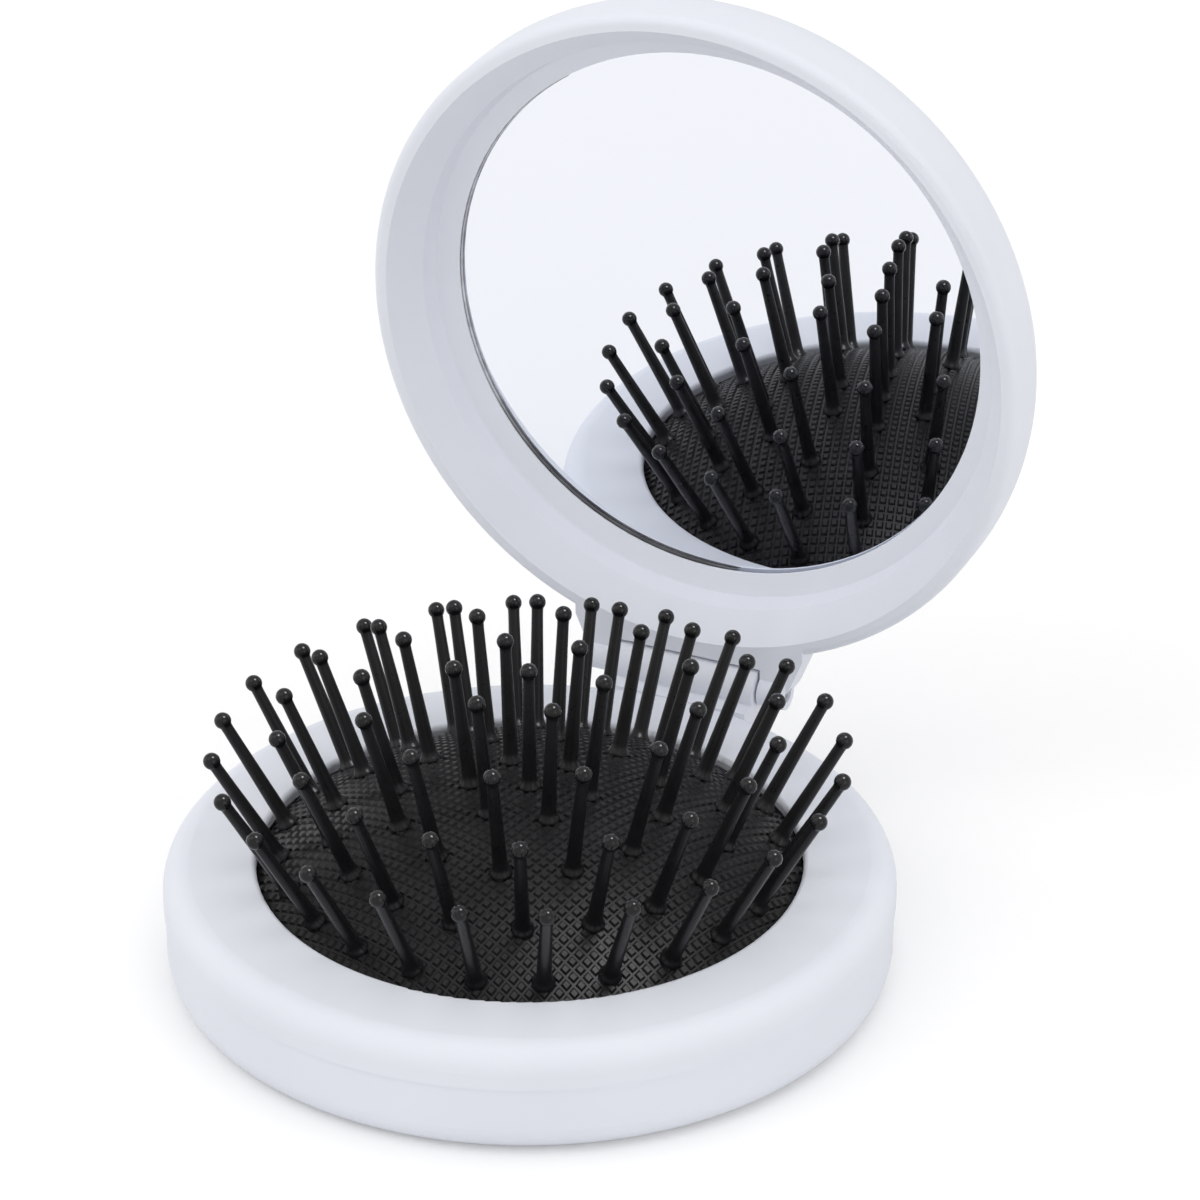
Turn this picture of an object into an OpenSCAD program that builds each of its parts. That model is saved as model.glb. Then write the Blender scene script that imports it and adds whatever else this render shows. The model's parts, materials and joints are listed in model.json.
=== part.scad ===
// Round folding hairbrush with a mirror in its lid. All sizes are in millimetres.
// The base stands on z = 0 and is centred on the origin; the hinge lies on the +Y side.
// The lid is drawn closed and then turned open about the hinge.

/* [Base] */
// Outer radius of the base ring
ring_r = 33; // [31.5:0.5:36]
// Height of the base, from the table to the top face of the ring
base_h = 10.6; // [10:0.2:12]
// How far the seam between the lower shell and the ring lies below the top face
seam_drop = 3.8; // [3.6:0.1:4.4]
// Width of the open seam
seam_gap = 0.05; // [0.05:0.05:0.3]
// How far the lower shell stands in from the ring
shell_step = 0.15; // [0.1:0.05:0.6]
// Wall of the lower shell and of the ring
case_wall = 1.4; // [1.1:0.1:1.8]
// Thickness of the lower shell's floor
floor_t = 1.2; // [0.9:0.1:1.5]
// Radius of the round heel at the foot of the lower shell
heel_round = 2.6; // [2:0.2:4]
// Radius of the ring's round shoulder
shoulder_round = 2.4; // [1.5:0.1:3]
// Width of the ring from its outside to the hole
face_w = 8.4; // [7.8:0.1:9.2]
// Radius of the ring's rounded hole edge
hole_round = 0.5; // [0.3:0.05:0.6]

/* [Pad] */
// Thickness of the lip that holds the pad's flange down
lip_t = 1.1; // [0.9:0.05:1.4]
// Rise of the dome above its rim
dome_rise = 8; // [6.5:0.25:8.5]
// Thickness of the rubber
pad_t = 1.2; // [0.9:0.1:1.4]
// Width of the flat flange round the dome
pad_flange = 2.8; // [2.2:0.1:3.2]
// Thickness of the clamp ring
clamp_t = 1.15; // [0.9:0.05:1.3]
// How far the clamp ring stands back from the hole
clamp_back = 0.8; // [0.5:0.1:1.2]

/* [Pins] */
// Radius of the inner ring of pins, as a share of the hole's radius
inner_ring_share = 0.2195; // [0.2:0.005:0.25]
// Radius of the second ring of pins, as a share of the hole's radius
second_ring_share = 0.4919; // [0.46:0.005:0.52]
// Radius of the third ring of pins, as a share of the hole's radius
third_ring_share = 0.7236; // [0.69:0.005:0.75]
// Radius of the outer ring of pins, as a share of the hole's radius
outer_ring_share = 0.9106; // [0.89:0.005:0.92]
// Angle at which the first pin of each ring stands
first_pin_angle = 14; // [0:1:60]
// Length of a pin, from the pad to the middle of its ball
pin_l = 11.6; // [9:0.2:13]
// Radius of the ball tip
ball_r = 0.78; // [0.7:0.02:1]
// Radius of the shaft under the ball
shaft_tip_r = 0.52; // [0.4:0.02:0.65]
// Radius of the shaft at the pad
shaft_foot_r = 0.68; // [0.6:0.02:0.85]
// Radius of the collar on the pad
collar_r = 1.05; // [0.95:0.05:1.4]
// Height of the collar
collar_t = 0.5; // [0.3:0.05:0.8]
// Radius of the head under the pad
head_r = 1.3; // [1.1:0.05:1.5]
// Thickness of the head
head_t = 0.6; // [0.4:0.05:0.8]
// Share of the dome's slope by which a pin leans outwards
lean_share = 0.92; // [0.85:0.01:1]

/* [Push plate] */
// Radius of the push plate in the underside
plate_r = 9.6; // [8.6:0.1:9.7]
// Thickness of the push plate
plate_t = 1.2; // [1:0.1:1.6]
// Depth of the thumb dish in the plate
dish_depth = 0.4; // [0.2:0.05:0.5]
// Width of the plate's flat rim round the dish
dish_rim = 1.2; // [0.8:0.1:3]
// Gap between the plate and its hole in the floor
plate_gap = 0.5; // [0.3:0.05:0.8]
// Radius of the hub between plate and pad
hub_r = 3.2; // [2.6:0.1:4]
// Height of the hub above the plate
hub_h = 1.8; // [1.6:0.1:2.1]
// Radius of the hub's spigot in the plate
spigot_r = 1.6; // [1.2:0.1:2]

/* [Lid] */
// Angle by which the lid stands open
open_angle = 88; // [0:1:90]
// How far the lid's edge lies inside the ring's
lid_inset = 0.55; // [0:0.05:1.5]
// Thickness of the lid
lid_t = 10.2; // [9.8:0.1:11]
// Radius of the round back edge
back_round = 6.3; // [5:0.1:7]
// Thickness of the lid's outer wall and back
lid_wall = 1.05; // [0.8:0.05:1.2]
// Radius of the lid's front edge
front_round = 0.85; // [0.4:0.05:1]
// Gap between the closed lid and the ring
close_gap = 0.4; // [0.2:0.05:0.6]
// Clearance between pieces pushed into each other
fit_gap = 0.05; // [0.02:0.01:0.1]
// Thickness of the lid frame
frame_t = 1.1; // [0.9:0.05:1.3]
// Width of the lid frame's flat rim
rim_w = 1.45; // [1.2:0.05:1.8]
// How far the sloped face inside the rim goes inwards
slope_w = 2.25; // [1.9:0.05:2.5]
// Depth of the sloped face
slope_d = 3.3; // [2.8:0.1:3.6]
// How far the step under the sloped face goes inwards
step_w = 0.4; // [0.2:0.05:0.6]
// Depth of the step
step_d = 2; // [1.7:0.1:2.2]
// Height of the ledge's edge above the glass
ledge_rise = 0.65; // [0.55:0.05:0.8]
// Gap between the back of the ledge and the face of the glass
ledge_gap = 0.4; // [0.2:0.05:0.45]
// How far the ledge reaches over the edge of the glass
ledge_over = 0.6; // [0.3:0.05:0.9]
// Distance from the lid's edge to the edge of the mirror glass
mirror_margin = 5.35; // [5.1:0.05:6.4]
// Thickness of the raised seat behind the tape
seat_t = 0.6; // [0.5:0.05:1.2]
// Thickness of the tape behind the glass
tape_t = 0.35; // [0.2:0.05:0.5]
// How far the tape's edge lies inside the edge of the glass
tape_inset = 2; // [1:0.1:4]
// Thickness of the glass
mirror_t = 1.2; // [1:0.05:1.4]
// Width of the bevel on the glass
mirror_bevel = 0.4; // [0.2:0.05:0.6]
// Gap between the glass and the frame round it
mirror_gap = 0.2; // [0.1:0.05:0.4]

/* [Hinge] */
// Distance from the ring's edge to the hinge axis
hinge_out = 2; // [1.8:0.05:2.5]
// Height of the hinge above the ring's top face
hinge_rise = 1; // [0.8:0.05:1.2]
// Radius of the middle knuckle
knuckle_r = 2.1; // [1.8:0.05:2.2]
// Radius of the outer knuckles
ear_r = 1.5; // [1.4:0.05:2.1]
// Width of the middle knuckle
middle_w = 14.4; // [10:0.2:15]
// Width over the outer knuckles
hinge_w = 20.2; // [19.6:0.2:22]
// Width of the web where it leaves the lid
web_w = 23.6; // [22.4:0.2:27]
// Thickness of the web
web_t = 3.6; // [3:0.1:4]
// Gap between knuckles, sideways
side_gap = 0.25; // [0.15:0.05:0.4]
// Radius of the hinge pin
pin_r = 0.7; // [0.5:0.05:0.8]
// How far the ends of the hinge pin lie inside the knuckles
pin_end_inset = 0.3; // [0.1:0.05:0.5]

/* [Hidden] */
$fn = 96;
small = 0.01;
tiny_round = 0.3;

hole_r = ring_r - face_w;
seam_z = base_h - seam_drop;
shell_r = ring_r - shell_step;
lip_z = base_h - lip_t;
flange_r = hole_r + pad_flange;
flange_z = lip_z - pad_t;
clamp_z = flange_z - clamp_t;
ring_in_r = ring_r - case_wall - shell_step;
spigot_in_r = ring_in_r - case_wall;
ring_wall_z = seam_z + seam_gap / 2;
shell_top_z = seam_z - seam_gap / 2;
shell_lip_depth = 2;
guide_h = 1;
arm_root = 1.6;
arm_rise = 0.4;
arm_inset = 0.2;
arm_touch = 45;

dome_r = (pow(hole_r, 2) + pow(dome_rise, 2)) / (2 * dome_rise);
dome_z = lip_z + dome_rise - dome_r;

pin_gap = 0.12;
pin_hole_gap = 0.05;
pin_fn = 24;
RINGS = [
    ["outer_pins_", outer_ring_share * hole_r, 24],
    ["third_ring_pins_", third_ring_share * hole_r, 18],
    ["second_ring_pins_", second_ring_share * hole_r, 12],
    ["inner_pins_", inner_ring_share * hole_r, 6]
];

dome_top_z = dome_z + dome_r;
hub_z = dome_top_z - pad_t - pin_gap - hub_h;
plate_z = hub_z - plate_t;

hinge_y = ring_r + hinge_out;
hinge_z = base_h + hinge_rise;
lid_r = ring_r - lid_inset;
rim_z = base_h + close_gap;
joint_d = lid_t - back_round;
mirror_r = lid_r - mirror_margin;
glass_seat_d = lid_t - lid_wall - seat_t - tape_t;
mirror_depth = glass_seat_d - mirror_t;
tape_r = mirror_r - tape_inset;
glass_wall_r = mirror_r + mirror_gap;

cover_collar_t = 0.7;
cover_collar_h = 1;

web_root = 7;
web_taper = 4.2;

// Slope of the dome at radius r, and its height there
function dome_slope(r) = asin(r / dome_r);
function dome_height(r) = dome_z + dome_r * cos(dome_slope(r));
function lean(r) = lean_share * dome_slope(r);

// Depth of the lid's hollow at radius r, out in its round corner
function lid_inside_d(r) =
    lid_t - back_round + sqrt(pow(back_round - lid_wall, 2) - pow(r - (lid_r - back_round), 2));

// A rectangle from [x0, y0] to [x1, y1] whose corner at [x1, y1] is round
module round_corner_2d(x0, y0, x1, y1, r) {
    translate([x0, y0]) square([x1 - x0 - r, y1 - y0]);
    translate([x0, y0]) square([x1 - x0, y1 - y0 - r]);
    translate([x1 - r, y1 - r]) intersection() {
        circle(r);
        square(r);
    }
}

// A bar along X with radius r, from x0 to x1, on the hinge axis
module hinge_bar(r, x0, x1) {
    translate([x0, hinge_y, hinge_z]) rotate([0, 90, 0]) cylinder(h = x1 - x0, r = r);
}

// Moves what is drawn closed to where the open lid holds it
module lid_pose() {
    translate([0, hinge_y, hinge_z])
        rotate([-open_angle, 0, 0])
            translate([0, -hinge_y, -hinge_z])
                children();
}

// ---- base ----

// Half section of the lower shell, drawn upside down so that its heel is the round corner
module heel_2d(r, h, round_r) {
    translate([0, h]) mirror([0, 1]) round_corner_2d(0, 0, r, h, round_r);
}

module base_shell() {
    color("gainsboro") rotate_extrude() {
        difference() {
            heel_2d(shell_r, shell_top_z, heel_round);
            translate([0, floor_t])
                heel_2d(shell_r - case_wall, shell_top_z, heel_round - case_wall);
            square([plate_r + plate_gap, 2 * floor_t]);
        }
        // rebate that carries the clamp ring
        translate([spigot_in_r, shell_top_z - shell_lip_depth])
            square([shell_r - case_wall / 2 - spigot_in_r, shell_lip_depth]);
        translate([spigot_in_r, shell_top_z - shell_lip_depth])
            square([ring_in_r - fit_gap - spigot_in_r, clamp_z - shell_top_z + shell_lip_depth]);
        // guide round the push plate's hole
        translate([plate_r + plate_gap, floor_t - small])
            square([floor_t, guide_h]);
    }
}

module ring_section_2d() {
    difference() {
        round_corner_2d(hole_r, ring_wall_z, ring_r, base_h, shoulder_round);
        // pocket for the pad's flange
        square([flange_r + fit_gap, lip_z]);
        // pocket for the clamp ring and the lower shell's rebate
        square([ring_in_r, flange_z + fit_gap]);
        // rounded edge of the hole
        translate([hole_r, base_h]) difference() {
            translate([-small, -hole_round]) square([hole_round + small, hole_round + small]);
            translate([hole_round, -hole_round]) circle(hole_round);
        }
    }
}

module base_ring() {
    arm_y = ring_r - arm_root;
    arm_z = ring_wall_z + arm_rise;
    color("gainsboro") difference() {
        union() {
            rotate_extrude() ring_section_2d();
            hinge_bar(knuckle_r, -middle_w / 2, middle_w / 2);
            // arm between the ring and the middle knuckle
            translate([-middle_w / 2, 0, 0]) rotate([90, 0, 90])
                linear_extrude(middle_w) polygon([
                    [arm_y, arm_z],
                    [ring_r - arm_inset, arm_z],
                    [hinge_y + knuckle_r * sin(arm_touch), hinge_z - knuckle_r * cos(arm_touch)],
                    [hinge_y, hinge_z],
                    [hinge_y - knuckle_r, base_h],
                    [arm_y, base_h]
                ]);
        }
        hinge_bar(pin_r + fit_gap, -middle_w, middle_w);
    }
}

module pad_clamp_ring() {
    color("whitesmoke") translate([0, 0, clamp_z]) rotate_extrude()
        translate([hole_r + clamp_back, 0])
            square([ring_in_r - fit_gap - hole_r - clamp_back, clamp_t]);
}

// ---- pad, pins and push plate ----

// Puts a pin's axis where it stands on the dome, with z = 0 on the rubber
module on_dome(r, a) {
    rotate([0, 0, a]) translate([r, 0, dome_height(r)]) rotate([0, lean(r), 0]) children();
}

module pin() {
    translate([0, 0, -pad_t - pin_gap - head_t]) cylinder(h = head_t, r = head_r, $fn = pin_fn);
    translate([0, 0, -pad_t - pin_gap - head_t / 2])
        cylinder(h = pad_t + 2 * pin_gap + head_t / 2 + small, r = shaft_foot_r, $fn = pin_fn);
    translate([0, 0, pin_gap]) cylinder(h = collar_t, r1 = collar_r, r2 = shaft_foot_r, $fn = pin_fn);
    translate([0, 0, pin_gap])
        cylinder(h = pin_l - pin_gap, r1 = shaft_foot_r, r2 = shaft_tip_r, $fn = pin_fn);
    translate([0, 0, pin_l]) sphere(ball_r, $fn = pin_fn);
}

// The dome, pierced for every pin
module bristle_pad() {
    color([0.12, 0.12, 0.13]) difference() {
        union() {
            difference() {
                intersection() {
                    translate([0, 0, dome_z]) sphere(dome_r);
                    translate([0, 0, flange_z]) cylinder(h = 2 * dome_rise, r = flange_r);
                }
                translate([0, 0, dome_z]) sphere(dome_r - pad_t);
            }
            translate([0, 0, flange_z]) rotate_extrude()
                translate([hole_r, 0]) square([pad_flange, pad_t]);
        }
        cylinder(h = 3 * base_h, r = shaft_foot_r + pin_hole_gap, $fn = pin_fn);
        for (ring = RINGS)
            for (i = [0:ring[2] - 1])
                on_dome(ring[1], first_pin_angle + i * 360 / ring[2])
                    translate([0, 0, -2 * pad_t])
                        cylinder(h = 4 * pad_t, r = shaft_foot_r + pin_hole_gap, $fn = pin_fn);
    }
}

module centre_pin() {
    color([0.12, 0.12, 0.13]) translate([0, 0, dome_top_z]) pin();
}

// Two neighbouring pins of one ring; pair 1 starts at the ring's first pin
module pin_pair(ring, pair) {
    color([0.12, 0.12, 0.13])
        for (i = [2 * pair - 2, 2 * pair - 1])
            on_dome(ring[1], first_pin_angle + i * 360 / ring[2]) pin();
}

// Collar under the middle of the pad, with a socket for the middle pin's head
module pad_hub() {
    color("whitesmoke") translate([0, 0, hub_z]) difference() {
        union() {
            cylinder(h = hub_h, r = hub_r);
            translate([0, 0, -plate_t / 2]) cylinder(h = plate_t, r = spigot_r);
        }
        translate([0, 0, hub_h - head_t - 2 * fit_gap])
            cylinder(h = head_t + 1, r = head_r + fit_gap);
    }
}

module push_plate() {
    dish_r = plate_r - dish_rim;
    color("gainsboro") translate([0, 0, plate_z]) difference() {
        rotate_extrude() round_corner_2d(0, 0, plate_r, plate_t, tiny_round);
        translate([0, 0, plate_t / 2 - fit_gap]) cylinder(h = plate_t, r = spigot_r + fit_gap);
        translate([0, 0, -small])
            cylinder(h = dish_depth, r1 = dish_r, r2 = dish_r - 2 * dish_depth);
    }
}

// ---- hinge pin ----

module hinge_pin() {
    half = hinge_w / 2 - pin_end_inset;
    color("silver") lid_pose() hinge_bar(pin_r, -half, half);
}

// ---- lid ----

// Half section of the lid's outside, or of a hollow that lies t inside it
module lid_2d(t) {
    round_corner_2d(0, -small * (t > 0 ? 1 : 0), lid_r - t, lid_t - t, back_round - t);
}

// Back cover, with a collar that fits inside the frame's wall and a seat for the tape
module lid_shell_section_2d() {
    collar_out = lid_r - lid_wall - fit_gap;
    difference() {
        lid_2d(0);
        lid_2d(lid_wall);
        translate([0, -small]) square([lid_r + small, joint_d + small]);
    }
    translate([collar_out - cover_collar_t, joint_d - cover_collar_h])
        square([cover_collar_t, 2 * cover_collar_h]);
    translate([collar_out - cover_collar_t, joint_d])
        square([cover_collar_t + 2 * fit_gap, cover_collar_h]);
    translate([0, glass_seat_d + tape_t]) square([tape_r, seat_t + small]);
}

// Web and outer knuckles that join the lid frame to the hinge pin
module lid_ears() {
    difference() {
        union() {
            translate([0, 0, rim_z]) linear_extrude(web_t) polygon([
                [-web_w / 2, hinge_y - web_root],
                [web_w / 2, hinge_y - web_root],
                [web_w / 2, hinge_y - web_taper],
                [hinge_w / 2, hinge_y],
                [-hinge_w / 2, hinge_y],
                [-web_w / 2, hinge_y - web_taper]
            ]);
            hinge_bar(ear_r, -hinge_w / 2, hinge_w / 2);
        }
        translate([0, 0, rim_z - small]) cylinder(h = lid_t, r = lid_r - lid_wall + small);
        hinge_bar(knuckle_r + close_gap, -middle_w / 2 - side_gap, middle_w / 2 + side_gap);
        hinge_bar(pin_r + fit_gap, -hinge_w, hinge_w);
    }
}

module lid_shell() {
    color("gainsboro") lid_pose()
        translate([0, 0, rim_z]) rotate_extrude() lid_shell_section_2d();
}

// Outer wall, flat rim, sloped face, step, and the ledge that holds the glass from the front
module lid_frame_section_2d() {
    rim_in = lid_r - rim_w;
    crease_r = rim_in - slope_w;
    step_r = crease_r - step_w;
    ledge_r = mirror_r - ledge_over;
    ledge_d = mirror_depth - ledge_rise;
    ledge_back_d = mirror_depth - ledge_gap;
    foot_r = glass_wall_r + frame_t;
    wall_in = lid_r - lid_wall;
    difference() {
        polygon([
            [lid_r, 0],
            [rim_in, 0],
            [crease_r, slope_d],
            [step_r, slope_d + step_d],
            [ledge_r, ledge_d],
            [ledge_r, ledge_back_d],
            [glass_wall_r, ledge_back_d],
            [glass_wall_r, lid_inside_d(foot_r) - fit_gap],
            [foot_r, lid_inside_d(foot_r) - fit_gap],
            [foot_r, ledge_d + frame_t],
            [step_r + frame_t, slope_d + step_d + 0.7 * frame_t],
            [crease_r + frame_t, slope_d + 0.5 * frame_t],
            [wall_in, 1.3 * frame_t],
            [wall_in, joint_d],
            [lid_r, joint_d]
        ]);
        // rounded front edge
        translate([lid_r, 0]) difference() {
            translate([-front_round, -small]) square([front_round + small, front_round + small]);
            translate([-front_round, front_round]) circle(front_round);
        }
    }
}

module lid_frame() {
    color("whitesmoke") lid_pose() {
        translate([0, 0, rim_z]) rotate_extrude() lid_frame_section_2d();
        lid_ears();
    }
}

module mirror_glass() {
    color("lightsteelblue") lid_pose() translate([0, 0, rim_z + mirror_depth]) {
        cylinder(h = mirror_bevel / 2, r1 = mirror_r - mirror_bevel, r2 = mirror_r);
        translate([0, 0, mirror_bevel / 2]) cylinder(h = mirror_t - mirror_bevel / 2, r = mirror_r);
    }
}

module mirror_tape() {
    color("dimgray") lid_pose()
        translate([0, 0, rim_z + glass_seat_d]) cylinder(h = tape_t, r = tape_r);
}

base_shell();
base_ring();
pad_clamp_ring();
bristle_pad();
centre_pin();
pad_hub();
push_plate();
hinge_pin();
lid_shell();
lid_frame();
mirror_glass();
mirror_tape();
for (ring = RINGS) for (i = [1:ring[2] / 2])
    pin_pair(ring, i);
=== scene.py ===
"""Finer pieces, finishes, light and camera for a folding hairbrush with a mirror in its lid."""
import json
import math

import bpy
from mathutils import Matrix, Vector


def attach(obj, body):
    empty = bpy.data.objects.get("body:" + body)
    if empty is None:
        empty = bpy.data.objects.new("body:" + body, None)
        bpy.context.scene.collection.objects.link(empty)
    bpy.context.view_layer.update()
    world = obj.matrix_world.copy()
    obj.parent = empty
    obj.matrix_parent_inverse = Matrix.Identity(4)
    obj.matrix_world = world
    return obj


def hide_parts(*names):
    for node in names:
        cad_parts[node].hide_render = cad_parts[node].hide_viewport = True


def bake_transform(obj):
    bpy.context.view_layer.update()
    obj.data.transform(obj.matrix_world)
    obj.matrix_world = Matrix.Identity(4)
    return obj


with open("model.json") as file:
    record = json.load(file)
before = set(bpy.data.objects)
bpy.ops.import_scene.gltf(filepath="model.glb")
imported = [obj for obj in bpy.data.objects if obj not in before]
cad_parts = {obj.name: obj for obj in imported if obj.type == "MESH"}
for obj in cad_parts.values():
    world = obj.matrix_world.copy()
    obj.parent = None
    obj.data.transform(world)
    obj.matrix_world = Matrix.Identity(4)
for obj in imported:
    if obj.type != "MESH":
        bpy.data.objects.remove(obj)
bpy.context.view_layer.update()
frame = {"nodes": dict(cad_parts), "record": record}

MM = 0.001
MICRON = 0.000001


# ---- camera ----

CAMERA_TURN = math.radians(25.27)
CAMERA_RISE = math.radians(27.90)
CAMERA_DISTANCE = 450 * MM
CAMERA_ASIDE = 6.29 * MM
CAMERA_UP = 31.07 * MM
CAMERA_LIFT = 1.1 * MM
CAMERA_LENS = 148.7
CAMERA_SENSOR = 36
NEAREST_SEEN = 0.01
FARTHEST_SEEN = 50


def set_camera():
    """A camera on a circle round the base, then moved aside and up in its own picture."""
    toward_camera = Vector((
        math.sin(CAMERA_TURN) * math.cos(CAMERA_RISE),
        -math.cos(CAMERA_TURN) * math.cos(CAMERA_RISE),
        math.sin(CAMERA_RISE),
    ))
    right = Vector((math.cos(CAMERA_TURN), math.sin(CAMERA_TURN), 0))
    up = toward_camera.cross(right)
    place = toward_camera * CAMERA_DISTANCE + right * CAMERA_ASIDE + up * CAMERA_UP
    place.z += CAMERA_LIFT
    bpy.ops.object.camera_add(
        location=place, rotation=(math.pi / 2 - CAMERA_RISE, 0, CAMERA_TURN)
    )
    camera = bpy.context.object
    camera.name = "camera"
    camera.data.lens = CAMERA_LENS
    camera.data.sensor_width = CAMERA_SENSOR
    camera.data.clip_start = NEAREST_SEEN
    camera.data.clip_end = FARTHEST_SEEN
    bpy.context.scene.camera = camera


# ---- wiring that the finishes share ----

GRAIN_ROUGHNESS = 0.55
RAMP_ENDS = (0.3, 0.7)


def new_finish(name):
    """A node material with its shader, ready for wiring."""
    finish = bpy.data.materials.new(name)
    finish.use_nodes = True
    tree = finish.node_tree
    shader = tree.nodes["Principled BSDF"]
    return finish, tree, shader


def object_place(tree):
    """Where a point lies in its own piece, so that the finish goes along when it moves."""
    return tree.nodes.new("ShaderNodeTexCoord").outputs["Object"]


def grain(tree, scale, detail=3.0):
    """Fine noise in object space; scale is in waves per metre."""
    noise = tree.nodes.new("ShaderNodeTexNoise")
    noise.inputs["Scale"].default_value = scale
    noise.inputs["Detail"].default_value = detail
    noise.inputs["Roughness"].default_value = GRAIN_ROUGHNESS
    tree.links.new(object_place(tree), noise.inputs["Vector"])
    return noise.outputs["Fac"]


def between(tree, factor, low, high):
    """Colours from low to high as factor goes through its middle range."""
    ramp = tree.nodes.new("ShaderNodeValToRGB")
    for element, position, colour in zip(ramp.color_ramp.elements, RAMP_ENDS, (low, high)):
        element.position = position
        element.color = (*colour, 1)
    tree.links.new(factor, ramp.inputs["Fac"])
    return ramp.outputs["Color"]


def spread(tree, factor, low, high, start=0.0, end=1.0):
    """A number from low to high as factor goes from start to end."""
    span = tree.nodes.new("ShaderNodeMapRange")
    span.inputs["From Min"].default_value = start
    span.inputs["From Max"].default_value = end
    span.inputs["To Min"].default_value = low
    span.inputs["To Max"].default_value = high
    tree.links.new(factor, span.inputs["Value"])
    return span.outputs["Result"]


def tint_with(tree, shader, tint):
    """Colours the shader with what the tint's wiring gives."""
    tree.links.new(tint, shader.inputs["Base Color"])


def roughen(tree, shader, scale, low, high):
    """Roughness that drifts from low to high with a grain of its own."""
    tree.links.new(spread(tree, grain(tree, scale), low, high), shader.inputs["Roughness"])


def relief(tree, shader, height, depth):
    """Shallow bumps that are depth metres high at most."""
    bump = tree.nodes.new("ShaderNodeBump")
    bump.inputs["Distance"].default_value = depth
    tree.links.new(height, bump.inputs["Height"])
    tree.links.new(bump.outputs["Normal"], shader.inputs["Normal"])


# ---- finishes ----


def frosted_plastic():
    """The white case, matt and a little blue."""
    finish, tree, shader = new_finish("frosted_plastic")
    drift = grain(tree, 60, 2)
    tint_with(tree, shader, between(tree, drift, (0.750, 0.770, 0.830), (0.775, 0.795, 0.855)))
    roughen(tree, shader, 900, 0.58, 0.70)
    shader.inputs["Specular IOR Level"].default_value = 0.18
    relief(tree, shader, grain(tree, 3000), 4 * MICRON)
    return finish


def inner_plastic():
    """The clamp ring and the hub, which hardly show."""
    finish, tree, shader = new_finish("inner_plastic")
    drift = grain(tree, 80, 2)
    tint_with(tree, shader, between(tree, drift, (0.66, 0.66, 0.69), (0.70, 0.70, 0.73)))
    roughen(tree, shader, 700, 0.40, 0.52)
    relief(tree, shader, grain(tree, 2200), 8 * MICRON)
    return finish


def pad_rubber():
    """Black rubber with a dull sheen on its studs."""
    finish, tree, shader = new_finish("pad_rubber")
    drift = grain(tree, 260, 4)
    tint_with(tree, shader, between(tree, drift, (0.006, 0.006, 0.007), (0.012, 0.012, 0.013)))
    roughen(tree, shader, 1500, 0.34, 0.46)
    shader.inputs["Specular IOR Level"].default_value = 0.17
    relief(tree, shader, grain(tree, 4500), 6 * MICRON)
    return finish


def pin_plastic():
    """The black shafts of the pins."""
    finish, tree, shader = new_finish("pin_plastic")
    drift = grain(tree, 300, 3)
    tint_with(tree, shader, between(tree, drift, (0.006, 0.006, 0.007), (0.010, 0.010, 0.011)))
    roughen(tree, shader, 1200, 0.24, 0.34)
    shader.inputs["Specular IOR Level"].default_value = 0.24
    relief(tree, shader, grain(tree, 1400, 2), 1 * MICRON)
    return finish


def ball_plastic():
    """The melted tips of the pins, smoother than their shafts."""
    finish, tree, shader = new_finish("ball_plastic")
    drift = grain(tree, 300, 3)
    tint_with(tree, shader, between(tree, drift, (0.005, 0.005, 0.006), (0.009, 0.009, 0.010)))
    roughen(tree, shader, 1200, 0.05, 0.13)
    shader.inputs["Specular IOR Level"].default_value = 0.26
    relief(tree, shader, grain(tree, 900, 2), 2 * MICRON)
    return finish


def pin_steel():
    """Drawn wire, for the pin of the hinge."""
    finish, tree, shader = new_finish("pin_steel")
    shader.inputs["Metallic"].default_value = 1.0
    drift = grain(tree, 900)
    tint_with(tree, shader, between(tree, drift, (0.50, 0.50, 0.52), (0.62, 0.62, 0.64)))
    roughen(tree, shader, 1500, 0.22, 0.36)
    return finish


def silvered():
    """Silvered glass, all but flawless."""
    finish, tree, shader = new_finish("silvered")
    shader.inputs["Metallic"].default_value = 1.0
    drift = grain(tree, 25, 2)
    tint_with(tree, shader, between(tree, drift, (0.91, 0.93, 0.985), (0.92, 0.94, 0.995)))
    roughen(tree, shader, 300, 0.0, 0.012)
    return finish


def foam_tape():
    """Dark foam between the glass and the lid."""
    finish, tree, shader = new_finish("foam_tape")
    drift = grain(tree, 1800, 4)
    tint_with(tree, shader, between(tree, drift, (0.10, 0.10, 0.105), (0.15, 0.15, 0.155)))
    roughen(tree, shader, 2000, 0.75, 0.9)
    relief(tree, shader, grain(tree, 2500), 50 * MICRON)
    return finish


# Heights at which the painted shade at the mirror's edge gives way to a painted grey
# reflection.
PAINTED_SHADE_UP_TO = 28 * MM
PAINTED_REFLECTION_FROM = 38 * MM


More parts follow.
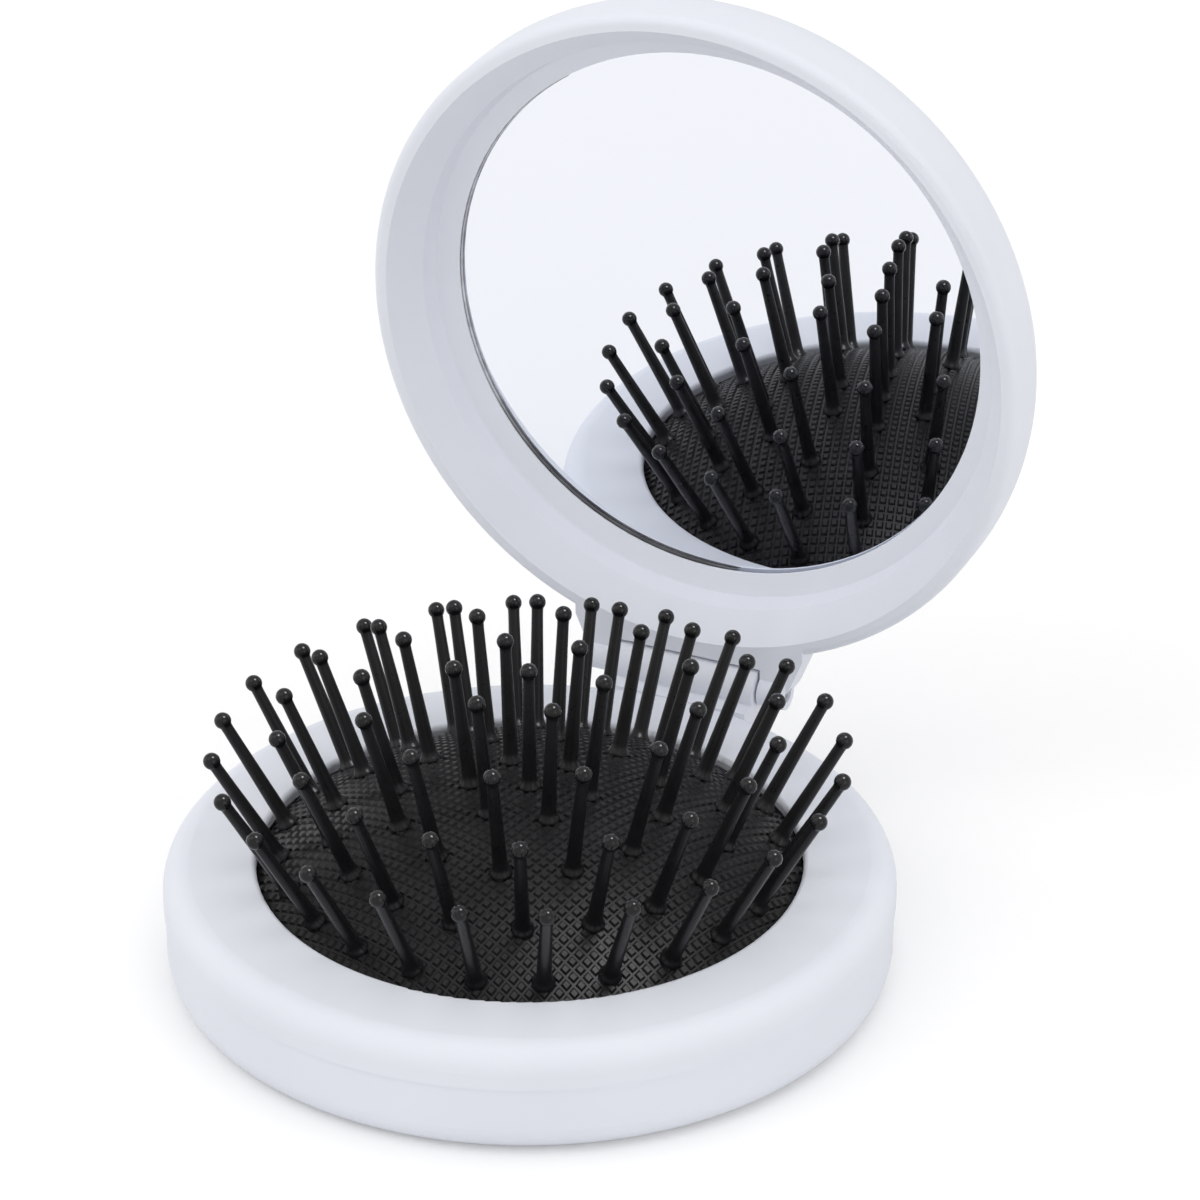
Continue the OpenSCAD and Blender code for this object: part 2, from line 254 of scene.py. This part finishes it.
def mirror_edge_shade_and_reflection():
    """Painted shade and reflection at the mirror's edge: dark low down for the shaded gap and
    the dark things it reflects, grey higher up as a painted reflection; uneven and a little
    shiny.
    """
    finish, tree, shader = new_finish("mirror_edge_shade_and_reflection")
    painted_shade_tint = between(tree, grain(tree, 220, 4), (0.010, 0.010, 0.012), (0.11, 0.11, 0.12))
    painted_reflection_tint = between(tree, grain(tree, 320, 4), (0.28, 0.28, 0.30), (0.76, 0.76, 0.80))
    # Blended by height: dark below as painted shade, grey above as a painted reflection.
    place = tree.nodes.new("ShaderNodeSeparateXYZ")
    tree.links.new(object_place(tree), place.inputs[0])
    shade_to_reflection = spread(tree, place.outputs["Z"], 0, 1, PAINTED_SHADE_UP_TO, PAINTED_REFLECTION_FROM)
    tint = tree.nodes.new("ShaderNodeMix")
    tint.data_type = "RGBA"
    tree.links.new(shade_to_reflection, tint.inputs["Factor"])
    tree.links.new(painted_shade_tint, tint.inputs["A"])
    tree.links.new(painted_reflection_tint, tint.inputs["B"])
    tint_with(tree, shader, tint.outputs["Result"])
    roughen(tree, shader, 400, 0.05, 0.25)
    relief(tree, shader, grain(tree, 700, 2), 80 * MICRON)
    return finish


FINISHES = {
    "frosted_plastic": frosted_plastic(),
    "inner_plastic": inner_plastic(),
    "pad_rubber": pad_rubber(),
    "pin_plastic": pin_plastic(),
    "pin_steel": pin_steel(),
    "mirror": silvered(),
    "tape": foam_tape(),
}
# Painted shade and reflection for the dark bead beside the mirror.
MIRROR_EDGE_SHADE_FINISH = mirror_edge_shade_and_reflection()
BALL_FINISH = ball_plastic()


def wear(piece, finish):
    """Gives the whole piece one finish."""
    piece.data.materials.clear()
    piece.data.materials.append(finish)


SLOT_OF = {part["node"]: part["material_slot"] for part in frame["record"]["subparts"]}
for node, its_slot in SLOT_OF.items():
    wear(frame["nodes"][node], FINISHES[its_slot])


# ---- making pieces ----

MERGE_WITHIN = 2 * MICRON
SMOOTH_UP_TO = math.radians(40)


def start_piece(name):
    """Names the piece that was just added and goes into its edit mode."""
    piece = bpy.context.object
    piece.name = name
    bpy.ops.object.mode_set(mode="EDIT")
    return piece


def finish_piece():
    """Back to object mode, doubles merged, outward faces, smooth but for sharp edges."""
    bpy.ops.mesh.select_all(action="SELECT")
    bpy.ops.mesh.remove_doubles(threshold=MERGE_WITHIN)
    bpy.ops.mesh.normals_make_consistent(inside=False)
    bpy.ops.object.mode_set(mode="OBJECT")
    bpy.ops.object.shade_smooth_by_angle(angle=SMOOTH_UP_TO)


def turned(name, outline, sides):
    """A turned piece: a disc at the first (radius, height), drawn out ring by ring."""
    bpy.ops.object.select_all(action="DESELECT")
    first_r, first_z = outline[0]
    bpy.ops.mesh.primitive_circle_add(
        vertices=sides, radius=first_r, fill_type="NGON", location=(0, 0, first_z)
    )
    bpy.ops.object.transform_apply(location=True)
    piece = start_piece(name)
    bpy.ops.mesh.select_all(action="SELECT")
    for (r0, z0), (r1, z1) in zip(outline, outline[1:]):
        bpy.ops.mesh.extrude_region_move(TRANSFORM_OT_translate={"value": (0, 0, z1 - z0)})
        bpy.ops.transform.resize(value=(r1 / r0, r1 / r0, 1), center_override=(0, 0, z1))
    bpy.ops.mesh.edge_face_add()
    finish_piece()
    return piece


def copy_of(piece, name, place):
    """A copy with its own mesh, set down by a matrix."""
    bpy.ops.object.select_all(action="DESELECT")
    piece.select_set(True)
    bpy.context.view_layer.objects.active = piece
    bpy.ops.object.duplicate()
    copy = bpy.context.object
    copy.name = name
    copy.matrix_world = place
    bpy.ops.object.transform_apply(location=True, rotation=True, scale=True)
    return copy


def joined(pieces, name):
    """Several pieces as one, under one name."""
    bpy.ops.object.select_all(action="DESELECT")
    for piece in pieces:
        piece.select_set(True)
    bpy.context.view_layer.objects.active = pieces[0]
    bpy.ops.object.join()
    bpy.context.object.name = name
    return bpy.context.object


def discard(piece):
    """Removes a piece that only helped to make others."""
    bpy.data.objects.remove(piece, do_unlink=True)


# ---- the dome, which the pad and the pins share ----

HOLE_R = 24.6 * MM
LIP_Z = 9.5 * MM
DOME_RISE = 8.0 * MM
DOME_R = (HOLE_R**2 + DOME_RISE**2) / (2 * DOME_RISE)
DOME_Z = LIP_Z + DOME_RISE - DOME_R
DOME_TOP_Z = LIP_Z + DOME_RISE


# ---- pins ----

FIRST_PIN_ANGLE = 14
LEAN_SHARE = 0.92
PIN_RINGS = [
    ("outer_pins_", 0.9106 * HOLE_R, 24),
    ("third_ring_pins_", 0.7236 * HOLE_R, 18),
    ("second_ring_pins_", 0.4919 * HOLE_R, 12),
    ("inner_pins_", 0.2195 * HOLE_R, 6),
]
PIN_SIDES = 20
BALL_FROM = 11.0 * MM
BALL_ANGLES = (134, 119, 105, 90, 75, 60, 45, 30, 15, 4)

# In plain millimetres, as the outline is.
PIN_LENGTH = 11.6
BALL_R = 0.78
NECK_R = 0.52


def pin_outline():
    """Head, stem, soft foot, tapered shaft, neck and ball, from the bottom up."""
    outline = [
        (0.2, -1.92), (1.16, -1.92), (1.28, -1.84), (1.28, -1.42), (1.18, -1.33),
        (0.70, -1.32), (0.68, -1.26), (0.68, -0.1), (1.04, 0.0), (1.02, 0.12),
        (0.92, 0.28), (0.81, 0.46), (0.73, 0.66), (0.685, 0.95), (0.66, 2.5),
        (0.61, 5.5), (0.56, 8.5), (NECK_R + 0.015, 10.6), (NECK_R + 0.025, 10.92),
    ]
    for degrees in BALL_ANGLES:
        turn = math.radians(degrees)
        outline.append((BALL_R * math.sin(turn), PIN_LENGTH + BALL_R * math.cos(turn)))
    return [(r * MM, z * MM) for r, z in outline]


def pin_pattern():
    """One pin, upright on the origin, with its ball in its own finish."""
    pattern = turned("pin_pattern", pin_outline(), PIN_SIDES)
    wear(pattern, FINISHES["pin_plastic"])
    pattern.data.materials.append(BALL_FINISH)
    for face in pattern.data.polygons:
        face.material_index = int(face.center.z > BALL_FROM)
    return pattern


def on_dome(radius, degrees):
    """Where a pin stands on the dome, leaning outwards."""
    slope = math.asin(radius / DOME_R)
    height = DOME_Z + DOME_R * math.cos(slope)
    return (
        Matrix.Rotation(math.radians(degrees), 4, "Z")
        @ Matrix.Translation((radius, 0, height))
        @ Matrix.Rotation(LEAN_SHARE * slope, 4, "Y")
    )


def stand_in_for(piece, body, *nodes):
    """The piece moves with the body and shows in place of the nodes."""
    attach(piece, body)
    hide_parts(*nodes)


def make_pins():
    """The middle pin, and each ring's pins in pairs of neighbours."""
    pattern = pin_pattern()
    centre = copy_of(pattern, "turned_centre_pin", Matrix.Translation((0, 0, DOME_TOP_Z)))
    stand_in_for(centre, "pad_middle", "centre_pin")
    for ring, radius, count in PIN_RINGS:
        for pair in range(count // 2):
            node = f"{ring}{pair + 1}"
            two = [
                copy_of(pattern, "pin", on_dome(radius, FIRST_PIN_ANGLE + i * 360 / count))
                for i in (2 * pair, 2 * pair + 1)
            ]
            body = "pad_middle" if ring == "inner_pins_" else node
            stand_in_for(joined(two, "turned_" + node), body, node)
    discard(pattern)


make_pins()


# ---- pad ----

STUD_PITCH = 0.91 * MM
STUD_ROWS = 57
STUD_TURN = math.radians(-16)
STUD_RISE = 0.20 * MM
STUD_FOOT = 0.10 * MM
STUD_SLOPE = 0.15 * MM
WHOLE_CELL = 0.97 * STUD_PITCH**2
NET_ABOVE_DOME = 5 * MM
DOME_SEGMENTS = 256
DOME_RINGS = 128
PAD_T = 1.2 * MM
PAD_EDGE_R = 24.57 * MM
PAD_EDGE_CUTS = 96
PAD_WEDGES = 12
# The first wedge has its middle halfway between the first two outer pins.
FIRST_WEDGE_ANGLE = FIRST_PIN_ANGLE + 7.5


def dome_form():
    """The dome's ball, that the pad's skin is laid over; it doesn't stay."""
    bpy.ops.object.select_all(action="DESELECT")
    bpy.ops.mesh.primitive_uv_sphere_add(
        segments=DOME_SEGMENTS,
        ring_count=DOME_RINGS,
        radius=DOME_R - STUD_RISE,
        location=(0, 0, DOME_Z),
    )
    bpy.context.object.name = "dome_form"
    return bpy.context.object


def lay_over(skin, form):
    """Presses the skin straight down on the form, which is then thrown away."""
    laid = skin.modifiers.new("laid_over_dome", "SHRINKWRAP")
    laid.target = form
    laid.wrap_method = "PROJECT"
    laid.use_project_z = True
    laid.use_negative_direction = True
    laid.use_positive_direction = False
    bpy.ops.object.modifier_apply(modifier=laid.name)
    discard(form)


def cut_away(plane_point, outwards):
    """Cuts the mesh that is in edit mode and drops what lies outwards."""
    bpy.ops.mesh.select_all(action="SELECT")
    bpy.ops.mesh.bisect(plane_co=plane_point, plane_no=outwards, clear_outer=True)


def select_whole_cells(skin):
    """Selects, in edit mode, the cells of the net that the pad's edge doesn't cut."""
    bpy.ops.mesh.select_all(action="DESELECT")
    bpy.ops.object.mode_set(mode="OBJECT")
    for face in skin.data.polygons:
        face.select = len(face.vertices) == 4 and face.area > WHOLE_CELL
    bpy.ops.object.mode_set(mode="EDIT")


def studded_skin():
    """A square net of low studs over the dome, cut round at the pad's edge."""
    form = dome_form()
    bpy.ops.object.select_all(action="DESELECT")
    bpy.ops.mesh.primitive_grid_add(
        x_subdivisions=STUD_ROWS,
        y_subdivisions=STUD_ROWS,
        size=STUD_ROWS * STUD_PITCH,
        location=(0, 0, DOME_TOP_Z + NET_ABOVE_DOME),
        rotation=(0, 0, STUD_TURN),
    )
    bpy.ops.object.transform_apply(location=True, rotation=True)
    skin = start_piece("studded_skin")
    for cut in range(PAD_EDGE_CUTS):
        turn = math.tau * cut / PAD_EDGE_CUTS
        outwards = (math.cos(turn), math.sin(turn), 0)
        cut_away((PAD_EDGE_R * outwards[0], PAD_EDGE_R * outwards[1], 0), outwards)
    bpy.ops.object.mode_set(mode="OBJECT")
    lay_over(skin, form)
    bpy.ops.object.mode_set(mode="EDIT")
    select_whole_cells(skin)
    bpy.ops.mesh.inset(thickness=STUD_FOOT, depth=0, use_individual=True)
    bpy.ops.mesh.inset(thickness=STUD_SLOPE, depth=STUD_RISE, use_individual=True)
    bpy.ops.object.mode_set(mode="OBJECT")
    return skin


def make_pad():
    """Twelve wedges of studded rubber over the dome, in place of the pad."""
    skin = studded_skin()
    half = math.pi / PAD_WEDGES
    for wedge in range(PAD_WEDGES):
        middle = math.radians(FIRST_WEDGE_ANGLE + wedge * 360 / PAD_WEDGES)
        piece = copy_of(skin, f"pad_wedge_{wedge + 1}", Matrix.Identity(4))
        bpy.ops.object.mode_set(mode="EDIT")
        for side in (-1, 1):
            turn = middle + side * half
            cut_away((0, 0, 0), (-side * math.sin(turn), side * math.cos(turn), 0))
        bpy.ops.object.mode_set(mode="OBJECT")
        wall = piece.modifiers.new("wall", "SOLIDIFY")
        wall.thickness = PAD_T - STUD_RISE
        wall.offset = -1
        bpy.ops.object.modifier_apply(modifier=wall.name)
        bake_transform(piece)
        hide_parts("bristle_pad")
        wear(piece, FINISHES[SLOT_OF["bristle_pad"]])
    discard(skin)


make_pad()


# ---- dark bead beside the mirror, painted shade and reflection ----

HINGE_Y = 35.0 * MM
HINGE_Z = 11.6 * MM
LID_OPEN = math.radians(88)
RIM_Z = 11.0 * MM
BEAD_RING_R = 26.43 * MM
BEAD_R = 0.20 * MM
BEAD_DEPTH = 6.79 * MM
BEAD_FIRST = 85
BEAD_LAST = 236
BEAD_STEPS = 120
BEAD_SIDES = 12
BEAD_START = 0.15
BEAD_FULL = 0.10
BEAD_BLUNTNESS = 0.4
BEAD_THINNING = 0.65


def lid_pose():
    """From the closed lid, in which its parts are drawn, to the open one."""
    hinge = Vector((0, HINGE_Y, HINGE_Z))
    return (
        Matrix.Translation(hinge)
        @ Matrix.Rotation(-LID_OPEN, 4, "X")
        @ Matrix.Translation(-hinge)
    )


def bead_swell(share):
    """Thickness along the bead: full soon after its low end, thin at its high end."""
    if share < BEAD_FULL:
        rounding = math.sin(math.pi / 2 * share / BEAD_FULL) ** BEAD_BLUNTNESS
        return max(BEAD_START, rounding)
    return 1 - BEAD_THINNING * (share - BEAD_FULL) / (1 - BEAD_FULL)


def make_mirror_edge_shade():
    """A dark bead beside the mirror that paints the shade in the gap and the dark reflections
    there: a small disc drawn out round the glass.
    """
    bpy.ops.object.select_all(action="DESELECT")
    bpy.ops.mesh.primitive_circle_add(
        vertices=BEAD_SIDES,
        radius=BEAD_R * BEAD_START,
        fill_type="NGON",
        location=(BEAD_RING_R, 0, 0),
        rotation=(math.pi / 2, 0, 0),
    )
    bpy.ops.object.transform_apply(location=True, rotation=True)
    bead = start_piece("mirror_edge_shade_piece")
    bpy.ops.mesh.select_all(action="SELECT")
    turn = math.radians(BEAD_LAST - BEAD_FIRST) / BEAD_STEPS
    for step in range(BEAD_STEPS):
        bpy.ops.mesh.extrude_region_move()
        bpy.ops.transform.rotate(value=-turn, orient_axis="Z", center_override=(0, 0, 0))
        reached = turn * (step + 1)
        swell = bead_swell((step + 1) / BEAD_STEPS) / bead_swell(step / BEAD_STEPS)
        bpy.ops.transform.resize(
            value=(swell, swell, swell),
            center_override=(
                BEAD_RING_R * math.cos(reached), BEAD_RING_R * math.sin(reached), 0
            ),
        )
    bpy.ops.mesh.edge_face_add()
    finish_piece()
    bead.matrix_world = (
        lid_pose()
        @ Matrix.Translation((0, 0, RIM_Z + BEAD_DEPTH))
        @ Matrix.Rotation(math.radians(BEAD_FIRST), 4, "Z")
    )
    bpy.ops.object.transform_apply(location=True, rotation=True)
    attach(bead, "lid")
    # Its finish paints shade low down and a grey reflection higher up.
    wear(bead, MIRROR_EDGE_SHADE_FINISH)


make_mirror_edge_shade()


# ---- floor and light ----

WHITE = (1.0, 1.0, 1.0, 1)
FLOOR_TINT = (0.86, 0.86, 0.86, 1)
FLOOR_ROUGHNESS = 0.9
FLOOR_SIZE = 6.0
FLOOR_GLOW = 0.15
FLOOR_GLOW_IN_MIRROR = 0.06
NEAR_FLOOR = 0.2
FAR_FLOOR = 0.8
FAR_GLOW = 0.45
ROOM_LEVEL = 0.78
LIGHT_AIM = Vector((0, 0, 0.03))
# Name, place, width, power, and whether only gloss shows it.
SOFTBOXES = [
    ("key_softbox", (-0.35, -0.45, 0.75), 0.6, 1.0, False),
    ("top_softbox", (0.15, 0.10, 0.90), 0.7, 1.4, False),
    ("glint_softbox", (0.25, 0.05, 0.85), 0.3, 5.0, True),
    ("left_softbox", (-0.85, -0.30, 0.30), 0.6, 0.85, False),
    ("right_softbox", (0.80, -0.45, 0.30), 0.6, 1.0, False),
]


def math_node(tree, operation, first, second):
    """The result of one sum on two wired values."""
    node = tree.nodes.new("ShaderNodeMath")
    node.operation = operation
    tree.links.new(first, node.inputs[0])
    tree.links.new(second, node.inputs[1])
    return node.outputs[0]


def is_looked_at(tree, ray):
    """1 for rays from the camera, a mirror or something clear, 0 for those that light."""
    seen = math_node(tree, "MAXIMUM", ray["Is Camera Ray"], ray["Is Glossy Ray"])
    return math_node(tree, "MAXIMUM", seen, ray["Is Transmission Ray"])


def floor_finish():
    """Pale, with a glow that keeps it white to the eye and grows towards the horizon."""
    finish, tree, shader = new_finish("pale_floor")
    shader.inputs["Base Color"].default_value = FLOOR_TINT
    shader.inputs["Roughness"].default_value = FLOOR_ROUGHNESS
    shader.inputs["Specular IOR Level"].default_value = 0.0
    ray = tree.nodes.new("ShaderNodeLightPath").outputs
    near = spread(tree, ray["Is Camera Ray"], FLOOR_GLOW_IN_MIRROR, FLOOR_GLOW)
    away = tree.nodes.new("ShaderNodeVectorMath")
    away.operation = "LENGTH"
    tree.links.new(object_place(tree), away.inputs[0])
    far = spread(tree, away.outputs["Value"], 0, FAR_GLOW, NEAR_FLOOR, FAR_FLOOR)
    level = math_node(tree, "ADD", near, far)
    glow = tree.nodes.new("ShaderNodeEmission")
    glow.inputs["Color"].default_value = WHITE
    strength = math_node(tree, "MULTIPLY", is_looked_at(tree, ray), level)
    tree.links.new(strength, glow.inputs["Strength"])
    both = tree.nodes.new("ShaderNodeAddShader")
    tree.links.new(shader.outputs[0], both.inputs[0])
    tree.links.new(glow.outputs[0], both.inputs[1])
    tree.links.new(both.outputs[0], tree.nodes["Material Output"].inputs["Surface"])
    return finish


def set_floor():
    """A wide plane on which the base stands."""
    bpy.ops.object.select_all(action="DESELECT")
    bpy.ops.mesh.primitive_plane_add(size=FLOOR_SIZE, location=(0, 0, 0))
    floor = bpy.context.object
    floor.name = "floor"
    wear(floor, floor_finish())


def set_room():
    """White to the eye and in the mirror, and a little dimmer where it lights."""
    world = bpy.data.worlds.new("white_room")
    bpy.context.scene.world = world
    world.use_nodes = True
    tree = world.node_tree
    room = tree.nodes["Background"]
    room.inputs["Color"].default_value = WHITE
    ray = tree.nodes.new("ShaderNodeLightPath").outputs
    strength = spread(tree, is_looked_at(tree, ray), ROOM_LEVEL, 1.0)
    tree.links.new(strength, room.inputs["Strength"])


def set_softbox(name, place, width, power, only_gloss):
    """A square area light, turned towards the brush."""
    bpy.ops.object.light_add(type="AREA", location=place)
    lamp = bpy.context.object
    lamp.name = name
    lamp.data.shape = "SQUARE"
    lamp.data.size = width
    lamp.data.energy = power
    lamp.rotation_euler = (LIGHT_AIM - Vector(place)).to_track_quat("-Z", "Y").to_euler()
    lamp.visible_diffuse = not only_gloss


set_camera()
set_floor()
set_room()
for softbox in SOFTBOXES:
    set_softbox(*softbox)

bpy.context.scene.view_settings.view_transform = "Standard"
